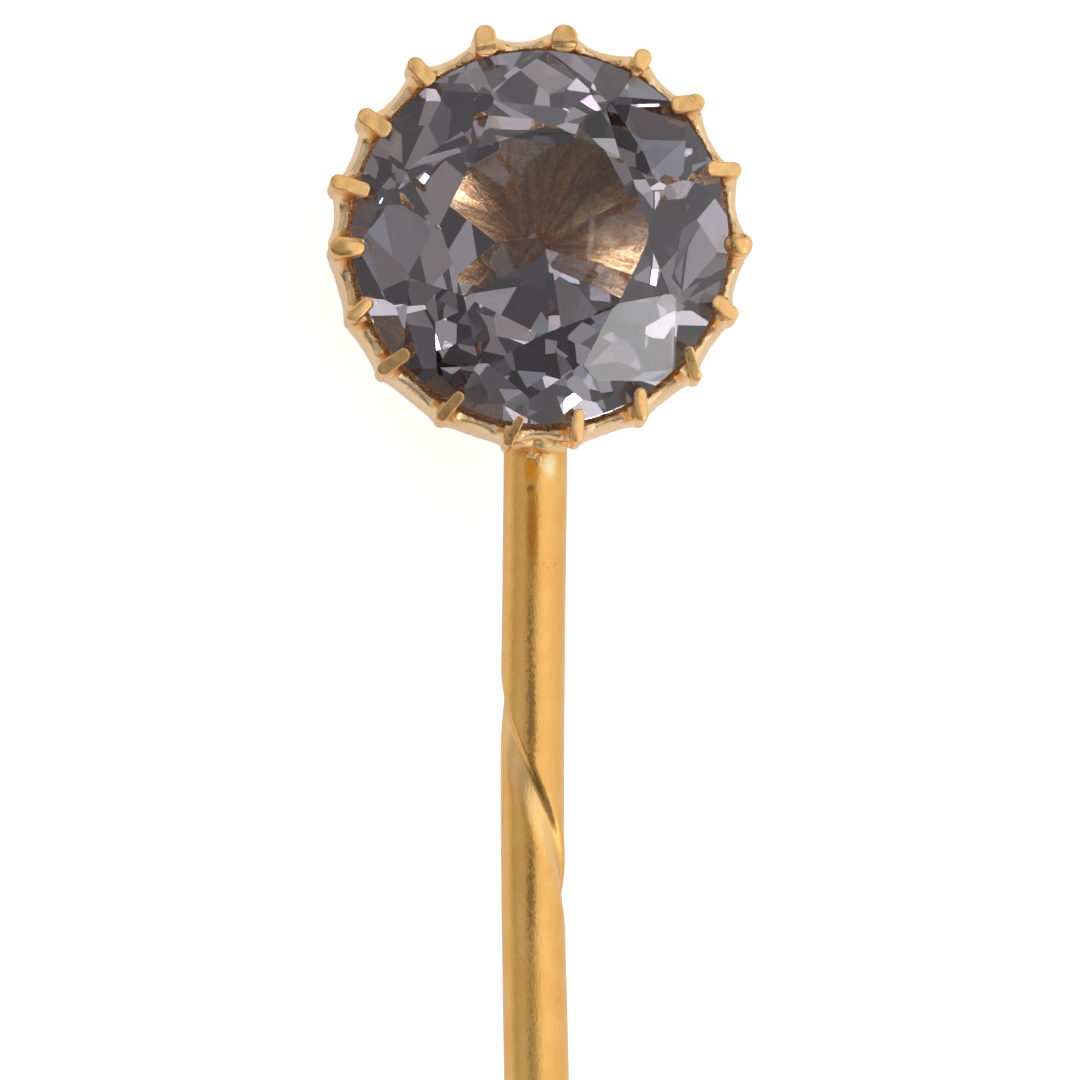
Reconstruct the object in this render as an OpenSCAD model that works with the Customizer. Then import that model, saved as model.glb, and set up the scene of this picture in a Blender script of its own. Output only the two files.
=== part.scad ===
// Stick pin: a round faceted stone in a gold cup with eighteen claws, on a long pointed stem.
// It lies on its back on a flat surface. +Z goes up through the stone, the stem runs towards
// -Y, and the origin is the middle of the cup's flat back.

/* [Stone] */
// Diameter across the girdle
stone_d = 7.54; // [6.5:0.01:8.5]
// Least thickness of the girdle
girdle_t = 0.1; // [0.06:0.01:0.16]
// Diameter of the table over its corners, as a share of the stone's diameter
table_share = 0.56; // [0.5:0.01:0.62]
// Slope of the eight kite facets of the crown, in degrees
kite_slope = 34; // [32:0.5:36]
// Slope of the sixteen crown facets along the girdle, in degrees
upper_slope = 41; // [40:0.5:44]
// Slope of the sixteen back facets along the girdle, in degrees
lower_slope = 46; // [44:0.5:50]
// Slope of the eight large back facets, in degrees
main_slope = 41; // [39:0.5:42]
// Slope of the eight facets round the stone's point, in degrees
point_slope = 33.5; // [31:0.5:36]
// Radius at which the facets round the point begin
point_r = 2.05; // [1.2:0.05:2.4]

/* [Cup] */
// Thickness of the cup's floor
floor_t = 0.35; // [0.25:0.05:0.5]
// Air between the stone's point and the floor
point_gap = 0.18; // [0.08:0.01:0.3]
// Thickness of the rim between the claws
rim_t = 0.43; // [0.34:0.01:0.5]
// Drop from the girdle's middle down to the rim
rim_drop = 0.3; // [0.26:0.01:0.4]
// How far the girdle overhangs the rim's inner edge
rim_seat = 0.11; // [0.08:0.01:0.14]
// Radius of the cup's flat back
back_r = 2.5; // [2.2:0.05:2.8]
// Depth at the rim of the hollow flute between two claws
flute_depth = 0.1; // [0.04:0.01:0.12]
// Length of a flute, from the rim down to where it runs out
flute_length = 0.85; // [0.5:0.05:1.2]

/* [Claws] */
// How far a claw laps over the stone
claw_lap = 0.34; // [0.25:0.01:0.45]
// How far a claw's back stands out past the rim
claw_proud = 0.2; // [0.1:0.01:0.25]
// Thickness of a claw over the crown
claw_t = 0.2; // [0.14:0.01:0.26]
// Clearance between the stone and all metal
stone_gap = 0.03; // [0.02:0.01:0.05]

/* [Stem] */
// Diameter of the stem at the cup
stem_top_d = 1.28; // [1.2:0.01:1.32]
// Diameter of the stem below its twist
stem_d = 1.3; // [1.2:0.01:1.4]
// Length of the whole pin, from the top claw to the point
pin_length = 66; // [58:1:76]
// Length of the taper at the point
taper_length = 9; // [7:0.5:12]
// Radius of the rounded point
tip_r = 0.07; // [0.05:0.01:0.12]
// Height of the stem's middle where it meets the cup
stem_z = 2.1; // [1.9:0.05:2.3]
// Sideways offset of the stem from the cup's middle
stem_off = 0; // [-0.2:0.01:0.2]
// Depth of the groove that the twist leaves
twist_depth = 0.09; // [0.05:0.01:0.12]
// Length of half a turn of the twist
twist_half = 3.75; // [3.4:0.05:4.2]

/* [Hidden] */

// Each claw's direction in degrees from +X, and its width
CLAWS = [
    [105.5, 0.4], [84, 0.42], [61, 0.36], [41, 0.34], [20, 0.34], [-2, 0.34],
    [-21, 0.28], [-40.5, 0.26], [-59.5, 0.28], [-79, 0.28], [-98, 0.25], [-118, 0.27],
    [-139, 0.28], [-157.5, 0.28], [-176, 0.34], [166, 0.33], [146, 0.34], [126, 0.34]
];

fine = 96;
far = 20;

stone_r = stone_d / 2;
half_step = 11.25;

// Distance from the stone's middle to a plane of this slope that passes radius r at height z
function reach(r, z, slope) = r * sin(slope) + z * cos(slope);
// Height at which two neighbouring girdle facets of this slope meet on the girdle
function meet_z(slope) = girdle_t / 2 + stone_r * (1 - cos(half_step)) * tan(slope);

upper_reach = reach(stone_r, girdle_t / 2, upper_slope);
kite_reach = reach(stone_r, meet_z(upper_slope), kite_slope);
table_r = table_share * stone_r;
crown_h = (kite_reach - table_r * sin(kite_slope)) / cos(kite_slope);

// The point where two kites and two girdle facets meet, and the star facet that reaches it
kite_run = cos(2 * half_step) * tan(kite_slope);
upper_run = cos(half_step) * tan(upper_slope);
star_r = (upper_reach / cos(upper_slope) - kite_reach / cos(kite_slope)) / (upper_run - kite_run);
star_z = kite_reach / cos(kite_slope) - kite_run * star_r;
star_in = table_r * cos(2 * half_step);
star_slope = atan((crown_h - star_z) / (star_r - star_in));

lower_reach = reach(stone_r, girdle_t / 2, lower_slope);
main_reach = reach(stone_r, meet_z(lower_slope), main_slope);
point_in_z = (main_reach - point_r * sin(main_slope)) / cos(main_slope);
point_reach = reach(point_r, point_in_z, point_slope);
back_h = point_reach / cos(point_slope);

// Facet rows: slope, how many, direction of the first, distance from the stone's middle
CROWN = [
    [upper_slope, 16, half_step, upper_reach],
    [kite_slope, 8, 0, kite_reach],
    [star_slope, 8, 2 * half_step, reach(star_in, crown_h, star_slope)],
    [0, 1, 0, crown_h]
];
BACK = [
    [lower_slope, 16, half_step, lower_reach],
    [main_slope, 8, 0, main_reach],
    [point_slope, 8, 0, point_reach]
];

girdle_z = floor_t + point_gap + back_h;
rim_z = girdle_z - rim_drop;
rim_in = stone_r - rim_seat;
rim_r = rim_in + rim_t;
claw_out = rim_r + claw_proud;
claw_tip = stone_r - claw_lap;
claw_in = stone_r + stone_gap;

flute_r = 1.2;
flute_fall = flute_depth / flute_length;

stem_r = stem_d / 2;
stem_root = rim_r - 0.28;
stem_tip = pin_length - claw_out;
stem_run = stem_tip - stem_root - taper_length;
stem_lean = asin((stem_z - stem_r) / stem_run);
stem_swell = [14 - stem_root, 16 - stem_root];

twist_start = 8.9 - stem_root;
groove_in = 0.3;
groove_along = 0.64;

// Takes away all that lies beyond one facet's plane
module facet(slope, turn, distance) {
    rotate([0, slope, turn])
        translate([-far / 2, -far / 2, distance])
            cube([far, far, far]);
}

module facet_rows(rows) {
    for (row = rows)
        for (i = [0 : row[1] - 1])
            facet(row[0], row[2] + i * 360 / row[1], row[3]);
}

// Brilliant-cut stone with an extra row of flat facets round its point
module stone() {
    color("lightslategray")
        translate([0, 0, girdle_z])
            difference() {
                translate([0, 0, -back_h - 1])
                    cylinder(h = back_h + crown_h + 2, r = stone_r, $fn = fine);
                facet_rows(CROWN);
                mirror([0, 0, 1])
                    facet_rows(BACK);
            }
}

// Cup with a closed back, fluted between the claws
module cup() {
    difference() {
        rotate_extrude($fn = fine)
            polygon([
                [0, 0],
                [back_r, 0],
                [back_r + 0.15, 0.1],
                [back_r + 0.72, 0.85],
                [rim_r - 0.34, 1.6],
                [rim_r - 0.06, rim_z - 1],
                [rim_r, rim_z - 0.75],
                [rim_r, rim_z],
                [rim_in, rim_z],
                [rim_in - 0.02, rim_z - 0.45],
                [rim_r - 0.62, 1.75],
                [back_r + 0.35, 1.05],
                [back_r - 0.15, floor_t + 0.15],
                [back_r - 0.45, floor_t],
                [0, floor_t]
            ]);
        for (i = [0 : len(CLAWS) - 1])
            rotate(gap_turn(i))
                flute();
    }
}

// One flute as a cone to take away, deepest at the rim and running out below it
module flute() {
    translate([rim_r + flute_r - flute_depth, 0, rim_z - 1.5])
        cylinder(h = 1.6, r1 = flute_r - 1.5 * flute_fall, r2 = flute_r + 0.1 * flute_fall, $fn = fine);
}

// Direction halfway between claw i and the next one round
function gap_turn(i) =
    let (here = CLAWS[i][0], next = CLAWS[(i + 1) % len(CLAWS)][0])
    (here + next) / 2 + (abs(here - next) > 180 ? 180 : 0);

// One claw: a post on the cup's wall, bent in over the stone and filed flat
module claw(turn, width) {
    over_z = girdle_z + meet_z(upper_slope) + stone_gap;
    lap_z = over_z + (stone_r - claw_tip) * upper_run;
    rotate(turn)
        translate([0, width / 2, 0])
            rotate([90, 0, 0])
                linear_extrude(width)
                    polygon([
                        [rim_r - 0.3, 1.7],
                        [rim_r - 0.1, rim_z - 1.1],
                        [claw_out - 0.03, rim_z - 0.6],
                        [claw_out, girdle_z - 0.1],
                        [claw_out - 0.02, girdle_z + 0.18],
                        [claw_out - 0.15, girdle_z + 0.38],
                        [claw_tip + 0.05, lap_z + claw_t],
                        [claw_tip - 0.02, lap_z + claw_t / 2],
                        [claw_tip + 0.02, lap_z],
                        [claw_in, over_z],
                        [claw_in, rim_z - 0.1],
                        [rim_in + 0.05, rim_z - 0.3]
                    ]);
    claw_foot(turn, width / 2);
}

// The flare on both sides of a claw, where it runs out into the rim
module claw_foot(turn, half) {
    rotate(turn)
        translate([claw_in, 0, rim_z])
            rotate([90, 0, 90])
                linear_extrude(rim_r - 0.05 - claw_in)
                    polygon([
                        [-half - 0.17, -0.4],
                        [half + 0.17, -0.4],
                        [half + 0.15, 0.02],
                        [half + 0.06, 0.12],
                        [half - 0.03, 0.36],
                        [0.03 - half, 0.36],
                        [-half - 0.06, 0.12],
                        [-half - 0.15, 0.02]
                    ]);
}

// Helical groove left by the twist, as a solid to take away, in the stem's own frame
module twist_groove() {
    sides = 12;
    turns = [for (a = [232 : -8 : -56]) a];
    last = len(turns) - 1;
    points = [
        for (k = [0 : last])
            let (
                fade = min(1, 3.2 * sin(180 * k / last)),
                out = stem_top_d / 2 + groove_in - twist_depth * fade + 0.01 * (1 - fade),
                along = twist_start + (180 - turns[k]) / 180 * twist_half
            )
            for (j = [0 : sides - 1])
                let (r = out + groove_in * cos(360 * j / sides))
                [r * cos(turns[k]), r * sin(turns[k]),
                 along + groove_along * sin(360 * j / sides)]
    ];
    faces = concat(
        [[for (j = [0 : sides - 1]) j]],
        [[for (j = [sides - 1 : -1 : 0]) last * sides + j]],
        [
            for (k = [0 : last - 1])
                for (j = [0 : sides - 1])
                    let (n = (j + 1) % sides)
                    [k * sides + n, k * sides + j, (k + 1) * sides + j, (k + 1) * sides + n]
        ]
    );
    polyhedron(points, faces);
}

// Round stem that thickens a little below the twist and tapers to a rounded point
module stem() {
    translate([stem_off, -stem_root, stem_z])
        rotate([90 + stem_lean, 0, 0]) {
            difference() {
                cylinder(h = stem_swell[0], d = stem_top_d, $fn = fine);
                twist_groove();
            }
            translate([0, 0, stem_swell[0]])
                cylinder(h = stem_swell[1] - stem_swell[0], d1 = stem_top_d, d2 = stem_d, $fn = fine);
            translate([0, 0, stem_swell[1]])
                cylinder(h = stem_run - stem_swell[1], d = stem_d, $fn = fine);
            translate([0, 0, stem_run])
                cylinder(h = taper_length - tip_r, r1 = stem_r, r2 = tip_r, $fn = fine);
            translate([0, 0, stem_run + taper_length - tip_r])
                sphere(r = tip_r, $fn = 32);
        }
}

// Two beads of solder where the stem meets the rim
module solder() {
    top_z = stem_z + stem_top_d / 2;
    for (bead = [[-0.04, 4.12, 0.12], [0.02, 4.28, 0.09]])
        translate([bead[0], -bead[1], top_z - 0.02])
            sphere(r = bead[2], $fn = 32);
}

// Cup, claws and stem are soldered, so they are one solid
module gold_pin() {
    color("goldenrod") {
        cup();
        for (c = CLAWS)
            claw(c[0], c[1]);
        stem();
        solder();
    }
}

gold_pin();
stone();
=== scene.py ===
import math
import random

import bmesh
import bpy
from mathutils import Matrix, Vector, noise


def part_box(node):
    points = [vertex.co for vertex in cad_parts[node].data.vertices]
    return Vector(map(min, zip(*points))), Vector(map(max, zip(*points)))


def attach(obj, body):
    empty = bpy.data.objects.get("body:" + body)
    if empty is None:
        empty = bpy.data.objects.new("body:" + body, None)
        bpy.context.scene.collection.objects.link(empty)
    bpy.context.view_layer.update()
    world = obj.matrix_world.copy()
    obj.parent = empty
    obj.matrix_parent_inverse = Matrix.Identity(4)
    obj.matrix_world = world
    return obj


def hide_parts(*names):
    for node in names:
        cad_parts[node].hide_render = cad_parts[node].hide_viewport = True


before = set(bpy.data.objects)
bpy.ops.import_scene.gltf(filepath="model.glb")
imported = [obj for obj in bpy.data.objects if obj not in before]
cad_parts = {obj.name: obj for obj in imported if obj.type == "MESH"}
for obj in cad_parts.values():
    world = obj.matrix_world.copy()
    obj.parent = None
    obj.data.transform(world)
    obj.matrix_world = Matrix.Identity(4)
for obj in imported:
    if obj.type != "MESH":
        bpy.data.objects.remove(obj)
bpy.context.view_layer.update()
print("stick pin: frame loaded")

# Lengths below are in millimetres; the meshes are scaled down to metres as they are made.
mm = 0.001
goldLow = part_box("gold_pin")[0] / mm
stoneLow, stoneHigh = [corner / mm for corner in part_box("stone")]
stoneRadius = (stoneHigh.x - stoneLow.x) / 2


# x out from the middle, y along the rim, turned round the cup's axis
def turned(x, y, z, degrees):
    a = math.radians(degrees)
    return (x * math.cos(a) - y * math.sin(a), x * math.sin(a) + y * math.cos(a), z)


def smooth(low, high, value):
    t = min(1.0, max(0.0, (value - low) / (high - low)))
    return t * t * (3 - 2 * t)


def mix(a, b, share):
    return a + (b - a) * share


# Noise at two places, the second half as strong
def unevenness(broadSpot, fineSpot):
    return noise.noise(broadSpot) + 0.5 * noise.noise(fineSpot)


def addObject(name, data):
    thing = bpy.data.objects.new(name, data)
    bpy.context.scene.collection.objects.link(thing)
    return thing


def makePiece(name, points, faces, finishes, sharpAngle, finishOf=None):
    mesh = bpy.data.meshes.new(name)
    mesh.from_pydata([Vector(p) * mm for p in points], [], faces)
    for finish in finishes:
        mesh.materials.append(finish)
    if finishOf:
        mesh.polygons.foreach_set("material_index", finishOf)
    bm = bmesh.new()
    bm.from_mesh(mesh)
    bmesh.ops.recalc_face_normals(bm, faces=bm.faces[:])
    bm.to_mesh(mesh)
    bm.free()
    mesh.shade_smooth()
    mesh.set_sharp_from_angle(angle=math.radians(sharpAngle))
    return addObject(name, mesh)


# Quads between closed rings of the same number of points, with flat ends
def gridFaces(rings, around, caps=True, start=0):
    faces = []
    for i in range(rings - 1):
        for j in range(around):
            k = (j + 1) % around
            a = start + i * around
            b = start + (i + 1) * around
            faces.append((a + j, a + k, b + k, b + j))
    if caps:
        faces.append(tuple(start + j for j in reversed(range(around))))
        faces.append(tuple(start + (rings - 1) * around + j for j in range(around)))
    return faces


# Links sockets or sets their constants; colours are given without alpha
def feed(tree, sockets, values):
    for key, value in values.items():
        socket = sockets[key]
        if isinstance(value, bpy.types.NodeSocket):
            tree.links.new(value, socket)
        elif socket.type == "RGBA":
            socket.default_value = (*value, 1)
        else:
            socket.default_value = value


def addNode(tree, kind, settings=None, inputs=None):
    node = tree.nodes.new(kind)
    for key, value in (settings or {}).items():
        setattr(node, key, value)
    feed(tree, node.inputs, inputs or {})
    return node


def calc(tree, operation, *values, clamp=False):
    settings = {"operation": operation, "use_clamp": clamp}
    return addNode(tree, "ShaderNodeMath", settings, dict(enumerate(values))).outputs[0]


def vectorCalc(tree, operation, *values):
    node = addNode(tree, "ShaderNodeVectorMath", {"operation": operation}, dict(enumerate(values)))
    return node.outputs["Value" if operation == "LENGTH" else "Vector"]


def remap(tree, value, fromLow, fromHigh, toLow=0.0, toHigh=1.0):
    inputs = {"Value": value, "From Min": fromLow, "From Max": fromHigh, "To Min": toLow, "To Max": toHigh}
    return addNode(tree, "ShaderNodeMapRange", {"interpolation_type": "SMOOTHSTEP"}, inputs).outputs["Result"]


def blend(tree, mask, colourA, colourB):
    inputs = {"Factor": mask, 6: colourA, 7: colourB}  # 6 and 7 are the two colours
    return addNode(tree, "ShaderNodeMix", {"data_type": "RGBA"}, inputs).outputs[2]


def addNoise(tree, place, scale, detail, roughness=0.5, distortion=0.0):
    inputs = {"Vector": place, "Scale": scale, "Detail": detail, "Roughness": roughness,
              "Distortion": distortion}
    return addNode(tree, "ShaderNodeTexNoise", inputs=inputs).outputs["Fac"]


# Bump with its depth in millimetres, over an earlier one where that is given
def addBump(tree, height, depth, earlier=None):
    inputs = {"Height": height, "Distance": depth * mm, "Strength": 1.0}
    if earlier:
        inputs["Normal"] = earlier
    return addNode(tree, "ShaderNodeBump", inputs=inputs).outputs["Normal"]


# A group, the values it is given, the place on the piece, and the sockets that it fills
def newGroup(name, inputs, outputs):
    group = bpy.data.node_groups.new(name, "ShaderNodeTree")
    for label, value in inputs.items():
        kind = "NodeSocketVector" if isinstance(value, tuple) else "NodeSocketFloat"
        socket = group.interface.new_socket(label, in_out="INPUT", socket_type=kind)
        socket.default_value = value
    for label in outputs:
        group.interface.new_socket(label, in_out="OUTPUT", socket_type="NodeSocketFloat")
    given = group.nodes.new("NodeGroupInput")
    place = group.nodes.new("ShaderNodeTexCoord")
    result = group.nodes.new("NodeGroupOutput")
    return group, given.outputs, place.outputs["Object"], result.inputs


def placeGroup(tree, group, **inputs):
    return addNode(tree, "ShaderNodeGroup", {"node_tree": group}, inputs).outputs


# A material, its node tree, and its shader's sockets with the constants set
def newMaterial(name, constants):
    material = bpy.data.materials.new(name)
    material.use_nodes = True
    tree = material.node_tree
    shader = tree.nodes["Principled BSDF"].inputs
    feed(tree, shader, constants)
    return material, tree, shader


# Shared by the finishes; pairs say where in a noise an effect begins and where it is full
grain = {
    "lines": (0.58, 0.66),
    "pits": (0.42, 0.12),
    "patchEdge": 8.0,  # how sharply the pits' patches end
    "streaks": (0.42, 0.58),
    "cloud": (0.35, 0.65),
    "wear": (0.35, 0.7),
    "raggedScale": 26000.0,
    "raggedStretch": (1, 0.4, 1),
    "acrossAxis": (1, 1, 0),  # leaves out the height
}


# Fine scratches: noise drawn out along one axis of the piece
def scratchGroup():
    group, given, place, result = newGroup("fineScratches", {"Stretch": (1, 1, 1), "Scale": 1.0},
                                           ("Height", "Lines"))
    drawn = vectorCalc(group, "MULTIPLY", place, given["Stretch"])
    fine = addNoise(group, drawn, given["Scale"], detail=6.0, roughness=0.65)
    feed(group, result, {"Height": fine, "Lines": remap(group, fine, *grain["lines"])})
    return group


# Pits and crumbs left by casting and soldering, in patches
def pitGroup():
    group, given, place, result = newGroup("castPits", {"Scale": 1.0, "Patches": 1.0, "Spread": 0.5},
                                           ("Height", "Pits", "Cloud"))
    inputs = {"Vector": place, "Scale": given["Scale"], "Randomness": 1.0}
    cells = addNode(group, "ShaderNodeTexVoronoi", {"feature": "F1"}, inputs)
    cloud = addNoise(group, place, given["Patches"], detail=3.0)
    inPatch = calc(group, "SUBTRACT", cloud, given["Spread"])
    inPatch = calc(group, "MULTIPLY", inPatch, grain["patchEdge"], clamp=True)
    pits = calc(group, "MULTIPLY", remap(group, cells.outputs["Distance"], *grain["pits"]), inPatch)
    feed(group, result, {"Height": calc(group, "MULTIPLY", pits, -1.0), "Pits": pits, "Cloud": cloud})
    return group


# A ring round the cup's axis: 1 inside Inner, fading to 0 at Outer, in metres
def ringGroup():
    group, given, place, result = newGroup("ringMask", {"Inner": 0.0, "Outer": 1.0}, ("Mask",))
    size = vectorCalc(group, "LENGTH", vectorCalc(group, "MULTIPLY", place, grain["acrossAxis"]))
    feed(group, result, {"Mask": remap(group, size, given["Outer"], given["Inner"])})
    return group


# A soft spot: 1 at Centre, fading to 0 at Size from it along each axis, its edge moved about by Ragged
def spotGroup():
    inputs = {"Centre": (0, 0, 0), "Size": (1, 1, 1), "Core": 0.4, "Ragged": 0.0}
    group, given, place, result = newGroup("softSpot", inputs, ("Mask",))
    drawn = vectorCalc(group, "MULTIPLY", place, grain["raggedStretch"])
    wild = addNoise(group, drawn, grain["raggedScale"], detail=3.0, roughness=0.6)
    away = vectorCalc(group, "SUBTRACT", place, given["Centre"])
    size = vectorCalc(group, "LENGTH", vectorCalc(group, "DIVIDE", away, given["Size"]))
    shift = calc(group, "MULTIPLY", calc(group, "SUBTRACT", wild, 0.5), given["Ragged"])
    far = calc(group, "ADD", size, shift)
    feed(group, result, {"Mask": remap(group, far, 1.0, given["Core"])})
    return group


# Streaks that run out from the cup's axis, as a scraper leaves them
def streakGroup():
    group, given, place, result = newGroup("radialStreaks", {"Around": 10.0, "Along": 500.0, "Warp": 0.0},
                                           ("Height", "Bands"))
    flat = vectorCalc(group, "MULTIPLY", place, grain["acrossAxis"])
    wide = vectorCalc(group, "MULTIPLY", vectorCalc(group, "NORMALIZE", flat), given["Around"])
    out = calc(group, "MULTIPLY", vectorCalc(group, "LENGTH", flat), given["Along"])
    lift = addNode(group, "ShaderNodeCombineXYZ", inputs={"Z": out})
    spot = vectorCalc(group, "ADD", wide, lift.outputs["Vector"])
    drawn = addNoise(group, spot, 1.0, detail=5.0, roughness=0.6, distortion=given["Warp"])
    feed(group, result, {"Height": drawn, "Bands": remap(group, drawn, *grain["streaks"])})
    return group


scratches = scratchGroup()
castPits = pitGroup()
ringMask = ringGroup()
softSpot = spotGroup()
radialStreaks = streakGroup()

# Scales are in cells to the metre and depths in millimetres; the cup's pit ring keeps pits to the rim's inner
# edge, where their dark colour is also painted shade beside the stone
goldFinishes = {
    # the cup's gold is the claws' metal painted paler and peachier, a painted sheen for the pale light on its
    # rim
    "cupGold": {"colour": (0.98, 0.72, 0.44), "shade": (0.96, 0.64, 0.33), "deep": (0.52, 0.22, 0.05),
                "rough": (0.20, 0.36), "stretch": (1, 1, 0.35), "scratchScale": 5200, "scratchDepth": 0.010,
                "pitScale": 14000, "patchScale": 1400, "spread": 0.46, "pitDepth": 0.02,
                "pitAndShadeRing": (3.84, 3.92)},
    "clawGold": {"colour": (0.97, 0.60, 0.26), "shade": (0.95, 0.56, 0.22), "deep": (0.6, 0.28, 0.07),
                 "rough": (0.24, 0.38), "stretch": (1, 1, 1), "scratchScale": 9000, "scratchDepth": 0.004,
                 "pitScale": 9000, "patchScale": 1500, "spread": 0.68, "pitDepth": 0.012},
    "stemGold": {"colour": (0.95, 0.55, 0.17), "shade": (0.93, 0.50, 0.14), "deep": (0.70, 0.36, 0.09),
                 "rough": (0.12, 0.22), "stretch": (1, 0.5, 1), "scratchScale": 20000, "scratchDepth": 0.009,
                 "pitScale": 7000, "patchScale": 1800, "spread": 0.66, "pitDepth": 0.006},
    "solderGold": {"colour": (0.99, 0.73, 0.40), "shade": (0.97, 0.64, 0.29), "deep": (0.45, 0.24, 0.08),
                   "rough": (0.30, 0.50), "stretch": (1, 1, 1), "scratchScale": 5000, "scratchDepth": 0.012,
                   "pitScale": 9000, "patchScale": 2600, "spread": 0.52, "pitDepth": 0.02},
}

# Painted reflections on the stem below the solder: orange and brown where the head's gold is reflected,
# a painted highlight beside them, and a painted dark line, the unlit gap reflected down the wire's left side:
# centre, half-size, how solid and ragged, colour and roughness
stemPaintedReflections = [
    # painted reflection of the head's gold: a brown band, an orange patch and a darker spot
    {"centre": (-0.10, -5.80, 2.68), "size": (0.17, 1.25, 0.5), "core": 0.30, "ragged": 0.6,
     "colour": (0.72, 0.29, 0.04), "rough": 0.28},
    {"centre": (-0.12, -4.60, 2.72), "size": (0.24, 0.40, 0.5), "core": 0.10, "ragged": 1.2,
     "colour": (1.0, 0.50, 0.05), "rough": 0.75},
    {"centre": (-0.14, -4.97, 2.72), "size": (0.12, 0.13, 0.5), "core": 0.0, "ragged": 1.6,
     "colour": (0.50, 0.20, 0.03), "rough": 0.40},
    # painted highlight
    {"centre": (0.24, -4.50, 2.66), "size": (0.22, 0.38, 0.5), "core": 0.0, "ragged": 0.6,
     "colour": (1.0, 0.84, 0.54), "rough": 0.30},
    # painted dark reflection: a line down the wire's left side
    {"centre": (-0.15, -7.9, 2.68), "size": (0.09, 1.3, 0.5), "core": 0.0, "ragged": 3.6,
     "colour": (0.50, 0.27, 0.08), "rough": 0.35},
    {"centre": (-0.12, -9.6, 2.68), "size": (0.11, 1.6, 0.5), "core": 0.45, "ragged": 2.0,
     "colour": (0.46, 0.25, 0.08), "rough": 0.35},
    {"centre": (-0.12, -13.1, 2.68), "size": (0.12, 1.6, 0.5), "core": 0.45, "ragged": 1.8,
     "colour": (0.48, 0.26, 0.08), "rough": 0.35},
    {"centre": (-0.12, -17.0, 2.68), "size": (0.09, 3.4, 0.5), "core": 0.20, "ragged": 3.4,
     "colour": (0.62, 0.35, 0.11), "rough": 0.30},
]

# The worn flank of the stem's twist: smoother, and painted paler as a painted sheen
twistFlankRubAndSheen = {"colour": (1.0, 0.66, 0.29), "rough": 0.26}


# Painted reflections and the twist's worn flank with its painted sheen, laid over the stem's own colour and
# roughness
def paintStemReflections(tree, colour, rough):
    marks = []
    for paintedMark in stemPaintedReflections:
        centre, size = [[v * mm for v in paintedMark[key]] for key in ("centre", "size")]
        spot = placeGroup(tree, softSpot, Centre=centre, Size=size, Core=paintedMark["core"],
                          Ragged=paintedMark["ragged"])
        marks.append((spot["Mask"], paintedMark))
    flank = addNode(tree, "ShaderNodeAttribute", {"attribute_name": "flank"})
    marks.append((flank.outputs["Fac"], twistFlankRubAndSheen))
    for mask, look in marks:
        colour = blend(tree, mask, colour, look["colour"])
        rough = remap(tree, mask, 0, 1, rough, look["rough"])
    return colour, rough


def goldMaterial(name):
    look = goldFinishes[name]
    material, tree, shader = newMaterial(name, {"Metallic": 1.0})
    fine = placeGroup(tree, scratches, Stretch=look["stretch"], Scale=look["scratchScale"])["Height"]
    pits = placeGroup(tree, castPits, Scale=look["pitScale"], Patches=look["patchScale"],
                      Spread=look["spread"])
    pitMask = pits["Pits"]
    pitHeight = pits["Height"]
    if "pitAndShadeRing" in look:
        inner, outer = look["pitAndShadeRing"]
        ring = placeGroup(tree, ringMask, Inner=inner * mm, Outer=outer * mm)["Mask"]
        pitMask = calc(tree, "MULTIPLY", pitMask, ring)
        pitHeight = calc(tree, "MULTIPLY", pitHeight, ring)
    colour = blend(tree, remap(tree, pits["Cloud"], *grain["cloud"]), look["colour"], look["shade"])
    rough = remap(tree, fine, *grain["wear"], *look["rough"])
    # the stem's painted reflections, and the painted sheen on its twist's flank
    if name == "stemGold":
        colour, rough = paintStemReflections(tree, colour, rough)
    # pits painted darker; at the cup's rim beside the stone this dark is also painted shade
    colour = blend(tree, pitMask, colour, look["deep"])
    normal = addBump(tree, pitHeight, look["pitDepth"], addBump(tree, fine, look["scratchDepth"]))
    feed(tree, shader, {"Base Color": colour, "Roughness": rough, "Normal": normal})
    return material


# Inside of the cup, scraped and darkened, seen through the stone
scrapedLook = {
    "bright": (0.99, 0.70, 0.38),
    "dark": (0.66, 0.36, 0.17),
    "around": 1.8,
    "along": 750.0,
    "warp": 2.0,
    "depth": 0.08,
    "fineScale": 14000,
    "fineDepth": 0.008,
    "wear": (0.3, 0.7),
    "rough": (0.16, 0.34),
}


def scrapedMaterial():
    look = scrapedLook
    material, tree, shader = newMaterial("scrapedGold", {"Metallic": 1.0})
    streaks = placeGroup(tree, radialStreaks, Around=look["around"], Along=look["along"], Warp=look["warp"])
    fine = placeGroup(tree, scratches, Scale=look["fineScale"])["Height"]
    colour = blend(tree, streaks["Bands"], look["dark"], look["bright"])
    rough = remap(tree, fine, *look["wear"], *look["rough"])
    normal = addBump(tree, fine, look["fineDepth"], addBump(tree, streaks["Height"], look["depth"]))
    feed(tree, shader, {"Base Color": colour, "Roughness": rough, "Normal": normal})
    return material


stoneLook = {
    "refraction": 1.72,
    "colour": (0.655, 0.615, 0.67),  # what one density's depth lets through
    "density": 220.0,
    "rubScale": 3000,
    "rubRough": 0.012,  # of the few rubbed lines on its faces
}


def stoneMaterial():
    glass = {"Base Color": (1, 1, 1), "Transmission Weight": 1.0, "IOR": stoneLook["refraction"]}
    material, tree, shader = newMaterial("greyVioletStone", glass)
    rub = placeGroup(tree, scratches, Scale=stoneLook["rubScale"])["Lines"]
    feed(tree, shader, {"Roughness": remap(tree, rub, 0, 1, 0, stoneLook["rubRough"])})
    depth = {"Color": stoneLook["colour"], "Density": stoneLook["density"]}
    body = addNode(tree, "ShaderNodeVolumeAbsorption", inputs=depth)
    feed(tree, tree.nodes["Material Output"].inputs, {"Volume": body.outputs["Volume"]})
    return material


materials = {name: goldMaterial(name) for name in goldFinishes}
scrapedGold = scrapedMaterial()
stoneGlass = stoneMaterial()
print("stick pin: finishes mixed")

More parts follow.
